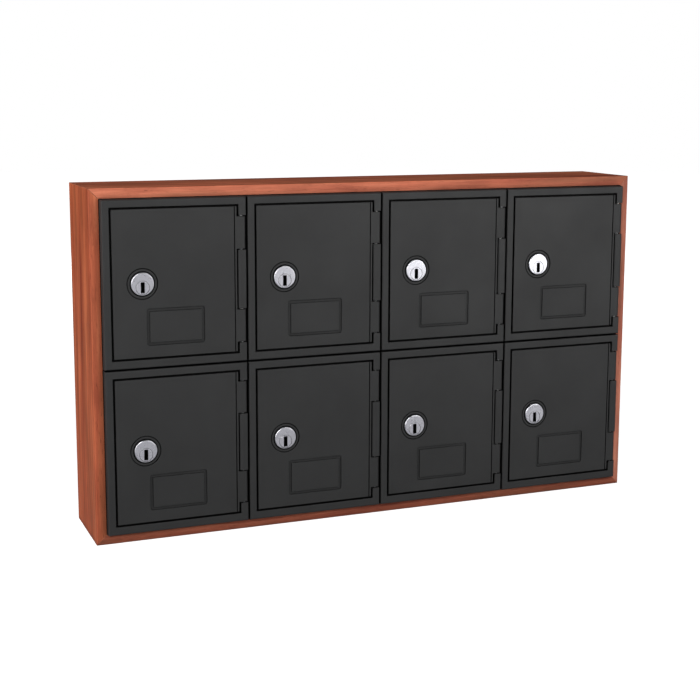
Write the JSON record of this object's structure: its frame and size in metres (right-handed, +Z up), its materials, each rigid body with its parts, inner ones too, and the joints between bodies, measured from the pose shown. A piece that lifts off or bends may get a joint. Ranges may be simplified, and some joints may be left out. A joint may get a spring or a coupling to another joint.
{
  "type": "personal locker",
  "caption": "Small wall or counter locker: moulded black compartments with keyed cam locks and right-hand hinges, in a mitred hardwood surround.",
  "frame": {"origin": "centre of the footprint, on the underside of the bottom board", "axes": "+X to the right as seen from the front, +Y from the doors to the back, +Z up"},
  "size_m": [0.571, 0.1002, 0.335],
  "materials": {
    "black_moulding": "fine-textured black moulded plastic, satin",
    "stained_wood": "red-brown stained hardwood, satin lacquer",
    "satin_chrome": "satin chrome plate",
    "zinc_steel": "bright zinc plate"
  },
  "bodies": {
    "cabinet": {"frame_top": "stained_wood", "frame_bottom": "stained_wood", "frame_left": "stained_wood", "frame_right": "stained_wood", "compartment_1": "black_moulding", "compartment_2": "black_moulding", "compartment_3": "black_moulding", "compartment_4": "black_moulding", "compartment_5": "black_moulding", "compartment_6": "black_moulding", "compartment_7": "black_moulding", "compartment_8": "black_moulding", "hinge_pin_1": "zinc_steel", "hinge_pin_2": "zinc_steel", "hinge_pin_3": "zinc_steel", "hinge_pin_4": "zinc_steel", "hinge_pin_5": "zinc_steel", "hinge_pin_6": "zinc_steel", "hinge_pin_7": "zinc_steel", "hinge_pin_8": "zinc_steel"},
    "door_1": {"door_1": "black_moulding", "lock_housing_1": "satin_chrome", "lock_nut_1": "zinc_steel"},
    "lock_1": {"lock_plug_1": "satin_chrome", "lock_cam_1": "zinc_steel"},
    "door_2": {"door_2": "black_moulding", "lock_housing_2": "satin_chrome", "lock_nut_2": "zinc_steel"},
    "lock_2": {"lock_plug_2": "satin_chrome", "lock_cam_2": "zinc_steel"},
    "door_3": {"door_3": "black_moulding", "lock_housing_3": "satin_chrome", "lock_nut_3": "zinc_steel"},
    "lock_3": {"lock_plug_3": "satin_chrome", "lock_cam_3": "zinc_steel"},
    "door_4": {"door_4": "black_moulding", "lock_housing_4": "satin_chrome", "lock_nut_4": "zinc_steel"},
    "lock_4": {"lock_plug_4": "satin_chrome", "lock_cam_4": "zinc_steel"},
    "door_5": {"door_5": "black_moulding", "lock_housing_5": "satin_chrome", "lock_nut_5": "zinc_steel"},
    "lock_5": {"lock_plug_5": "satin_chrome", "lock_cam_5": "zinc_steel"},
    "door_6": {"door_6": "black_moulding", "lock_housing_6": "satin_chrome", "lock_nut_6": "zinc_steel"},
    "lock_6": {"lock_plug_6": "satin_chrome", "lock_cam_6": "zinc_steel"},
    "door_7": {"door_7": "black_moulding", "lock_housing_7": "satin_chrome", "lock_nut_7": "zinc_steel"},
    "lock_7": {"lock_plug_7": "satin_chrome", "lock_cam_7": "zinc_steel"},
    "door_8": {"door_8": "black_moulding", "lock_housing_8": "satin_chrome", "lock_nut_8": "zinc_steel"},
    "lock_8": {"lock_plug_8": "satin_chrome", "lock_cam_8": "zinc_steel"}
  },
  "joints": [
    {"name": "door_1_hinge", "type": "hinge", "parent": "cabinet", "child": "door_1", "pos_m": [-0.1428, -0.04515, 0.2467], "axis": [0, 0, 1], "range_deg": [0, 100]},
    {"name": "lock_1_turn", "type": "hinge", "parent": "door_1", "child": "lock_1", "pos_m": [-0.2388, -0.04915, 0.2435], "axis": [0, 1, 0], "range_deg": [0, 90]},
    {"name": "door_2_hinge", "type": "hinge", "parent": "cabinet", "child": "door_2", "pos_m": [-0.0048, -0.04515, 0.2467], "axis": [0, 0, 1], "range_deg": [0, 100]},
    {"name": "lock_2_turn", "type": "hinge", "parent": "door_2", "child": "lock_2", "pos_m": [-0.1008, -0.04915, 0.2435], "axis": [0, 1, 0], "range_deg": [0, 90]},
    {"name": "door_3_hinge", "type": "hinge", "parent": "cabinet", "child": "door_3", "pos_m": [0.1332, -0.04515, 0.2467], "axis": [0, 0, 1], "range_deg": [0, 100]},
    {"name": "lock_3_turn", "type": "hinge", "parent": "door_3", "child": "lock_3", "pos_m": [0.0372, -0.04915, 0.2435], "axis": [0, 1, 0], "range_deg": [0, 90]},
    {"name": "door_4_hinge", "type": "hinge", "parent": "cabinet", "child": "door_4", "pos_m": [0.2712, -0.04515, 0.2467], "axis": [0, 0, 1], "range_deg": [0, 100]},
    {"name": "lock_4_turn", "type": "hinge", "parent": "door_4", "child": "lock_4", "pos_m": [0.1752, -0.04915, 0.2435], "axis": [0, 1, 0], "range_deg": [0, 90]},
    {"name": "door_5_hinge", "type": "hinge", "parent": "cabinet", "child": "door_5", "pos_m": [-0.1428, -0.04515, 0.0887], "axis": [0, 0, 1], "range_deg": [0, 100]},
    {"name": "lock_5_turn", "type": "hinge", "parent": "door_5", "child": "lock_5", "pos_m": [-0.2388, -0.04915, 0.0855], "axis": [0, 1, 0], "range_deg": [0, 90]},
    {"name": "door_6_hinge", "type": "hinge", "parent": "cabinet", "child": "door_6", "pos_m": [-0.0048, -0.04515, 0.0887], "axis": [0, 0, 1], "range_deg": [0, 100]},
    {"name": "lock_6_turn", "type": "hinge", "parent": "door_6", "child": "lock_6", "pos_m": [-0.1008, -0.04915, 0.0855], "axis": [0, 1, 0], "range_deg": [0, 90]},
    {"name": "door_7_hinge", "type": "hinge", "parent": "cabinet", "child": "door_7", "pos_m": [0.1332, -0.04515, 0.0887], "axis": [0, 0, 1], "range_deg": [0, 100]},
    {"name": "lock_7_turn", "type": "hinge", "parent": "door_7", "child": "lock_7", "pos_m": [0.0372, -0.04915, 0.0855], "axis": [0, 1, 0], "range_deg": [0, 90]},
    {"name": "door_8_hinge", "type": "hinge", "parent": "cabinet", "child": "door_8", "pos_m": [0.2712, -0.04515, 0.0887], "axis": [0, 0, 1], "range_deg": [0, 100]},
    {"name": "lock_8_turn", "type": "hinge", "parent": "door_8", "child": "lock_8", "pos_m": [0.1752, -0.04915, 0.0855], "axis": [0, 1, 0], "range_deg": [0, 90]}
  ]
}
